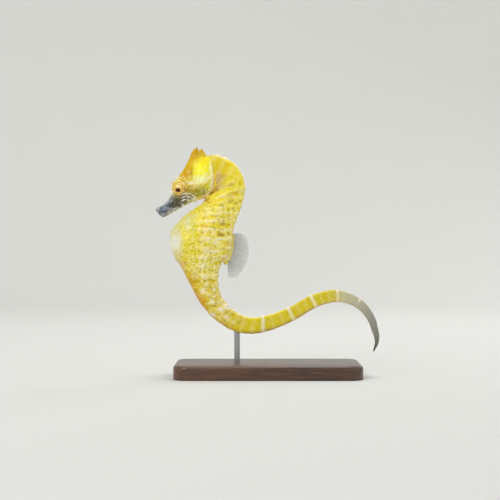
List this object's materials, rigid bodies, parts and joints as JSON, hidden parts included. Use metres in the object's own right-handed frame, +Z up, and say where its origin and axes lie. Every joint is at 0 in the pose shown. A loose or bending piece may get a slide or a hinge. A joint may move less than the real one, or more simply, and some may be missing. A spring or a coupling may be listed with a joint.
{
  "type": "yellow seahorse on a display stand",
  "caption": "Still model of a male yellow seahorse at life size: slender grey snout, low coronet, deep trunk, clear dorsal fin and a long tail swept back, on a wooden base with a steel rod.",
  "frame": {"origin": "middle of the stand's underside, below the middle of the animal's length from snout to tail tip", "axes": "+X from the snout towards the tail tip, +Y towards the animal's right side, +Z up; the animal's mid-plane is Y = 0"},
  "size_m": [0.0625, 0.027, 0.0642],
  "materials": {
    "skin": "matte, moist skin over bony rings",
    "eye": "wet gloss",
    "fin": "clear thin membrane with pale rays",
    "stand_wood": "satin varnished walnut",
    "stand_steel": "fine brushed"
  },
  "bodies": {
    "root": {"snout": "skin", "head": "skin", "coronet": "skin", "neck": "skin", "trunk": "skin", "brood_pouch": "skin", "tail_base": "skin", "tail_1": "skin", "tail_2": "skin", "tail_3": "skin", "tail_4": "skin", "tail_5": "skin", "eye_left": "eye", "eye_right": "eye", "dorsal_fin": "fin", "anal_fin": "fin", "pectoral_fin_left": "fin", "pectoral_fin_right": "fin", "stand_base": "stand_wood", "stand_rod": "stand_steel"}
  },
  "joints": []
}
